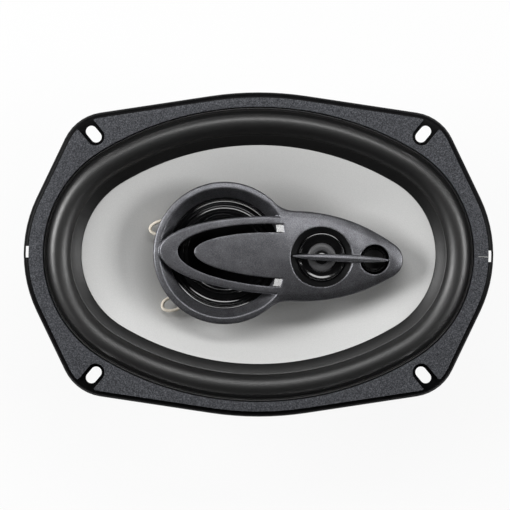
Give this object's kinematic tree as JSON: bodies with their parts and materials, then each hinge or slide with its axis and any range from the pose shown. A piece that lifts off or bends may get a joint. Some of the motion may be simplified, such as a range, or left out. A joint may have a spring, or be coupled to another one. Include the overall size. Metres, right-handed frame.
{
  "type": "coaxial car speaker",
  "caption": "Oval coaxial car speaker with a stamped basket, rubber surround, light grey cone and a charcoal pod that carries a midrange and two tweeters on a centre post.",
  "frame": {"origin": "centre of the seating plane, on the lower edge of the rolled rim", "axes": "+X along the long side, +Y across it, +Z out of the face towards the listener"},
  "size_m": [0.236, 0.163, 0.0942],
  "materials": {
    "black_paint": "gloss",
    "fibre_gasket": "matte",
    "surround_rubber": "satin",
    "cone_polymer": "satin",
    "former_film": "satin",
    "coil_wire": "gloss",
    "spider_cloth": "matte",
    "seal_felt": "matte",
    "plated_steel": "satin",
    "ferrite": "matte",
    "neodymium": "satin",
    "zinc_steel": "satin",
    "pod_plastic": "satin",
    "gloss_black": "gloss",
    "mid_rubber": "gloss",
    "mid_polymer": "gloss",
    "tweeter_film": "satin",
    "capacitor_sleeve": "satin",
    "tinned_brass": "satin",
    "tinsel": "matte",
    "laminate_board": "matte"
  },
  "bodies": {
    "frame": {"basket": "black_paint", "gasket": "fibre_gasket", "surround": "surround_rubber", "spider": "spider_cloth", "top_plate": "plated_steel", "magnet": "ferrite", "back_plate": "plated_steel", "frame_rivets": "plated_steel", "centre_post": "plated_steel", "post_nut": "zinc_steel", "pod_base": "pod_plastic", "pod_cover": "pod_plastic", "pod_screws": "zinc_steel", "mid_trim": "gloss_black", "mid_surround": "mid_rubber", "mid_frame": "plated_steel", "mid_top_plate": "plated_steel", "mid_magnet": "ferrite", "mid_yoke": "plated_steel", "tweeter_face": "gloss_black", "tweeter_cup": "plated_steel", "tweeter_magnet": "neodymium", "tweeter_pole": "plated_steel", "super_tweeter_cup": "gloss_black", "capacitors": "capacitor_sleeve", "lead_upper": "tinsel", "lead_lower": "tinsel", "rear_lead_upper": "tinsel", "rear_lead_lower": "tinsel", "terminal_board": "laminate_board", "terminal_wide": "tinned_brass", "terminal_narrow": "tinned_brass", "terminal_rivets": "tinned_brass"},
    "woofer": {"cone": "cone_polymer", "voice_coil_former": "former_film", "voice_coil": "coil_wire", "dust_seal": "seal_felt", "lead_eyelets": "tinned_brass"},
    "midrange": {"mid_cone": "mid_polymer", "mid_coil": "coil_wire"},
    "tweeter": {"tweeter_ring": "tweeter_film", "tweeter_cap": "gloss_black", "tweeter_coil": "coil_wire"},
    "super_tweeter": {"super_tweeter_disc": "tweeter_film"}
  },
  "joints": [
    {"name": "woofer_travel", "type": "slide", "parent": "frame", "child": "woofer", "axis": [0, 0, 1], "range_m": [-0.005, 0.005], "stiffness_N_per_m": 3500, "deforming": ["surround", "spider", "lead_upper", "lead_lower", "rear_lead_upper", "rear_lead_lower"]},
    {"name": "midrange_travel", "type": "slide", "parent": "frame", "child": "midrange", "axis": [0, 0, 1], "range_m": [-0.0004, 0.0004], "stiffness_N_per_m": 3000, "deforming": ["mid_surround"]},
    {"name": "tweeter_travel", "type": "slide", "parent": "frame", "child": "tweeter", "axis": [0, 0, 1], "range_m": [-0.0002, 0.0002], "stiffness_N_per_m": 2000},
    {"name": "super_tweeter_travel", "type": "slide", "parent": "frame", "child": "super_tweeter", "axis": [0, 0, 1], "range_m": [-0.0001, 0.0001], "stiffness_N_per_m": 2000}
  ]
}
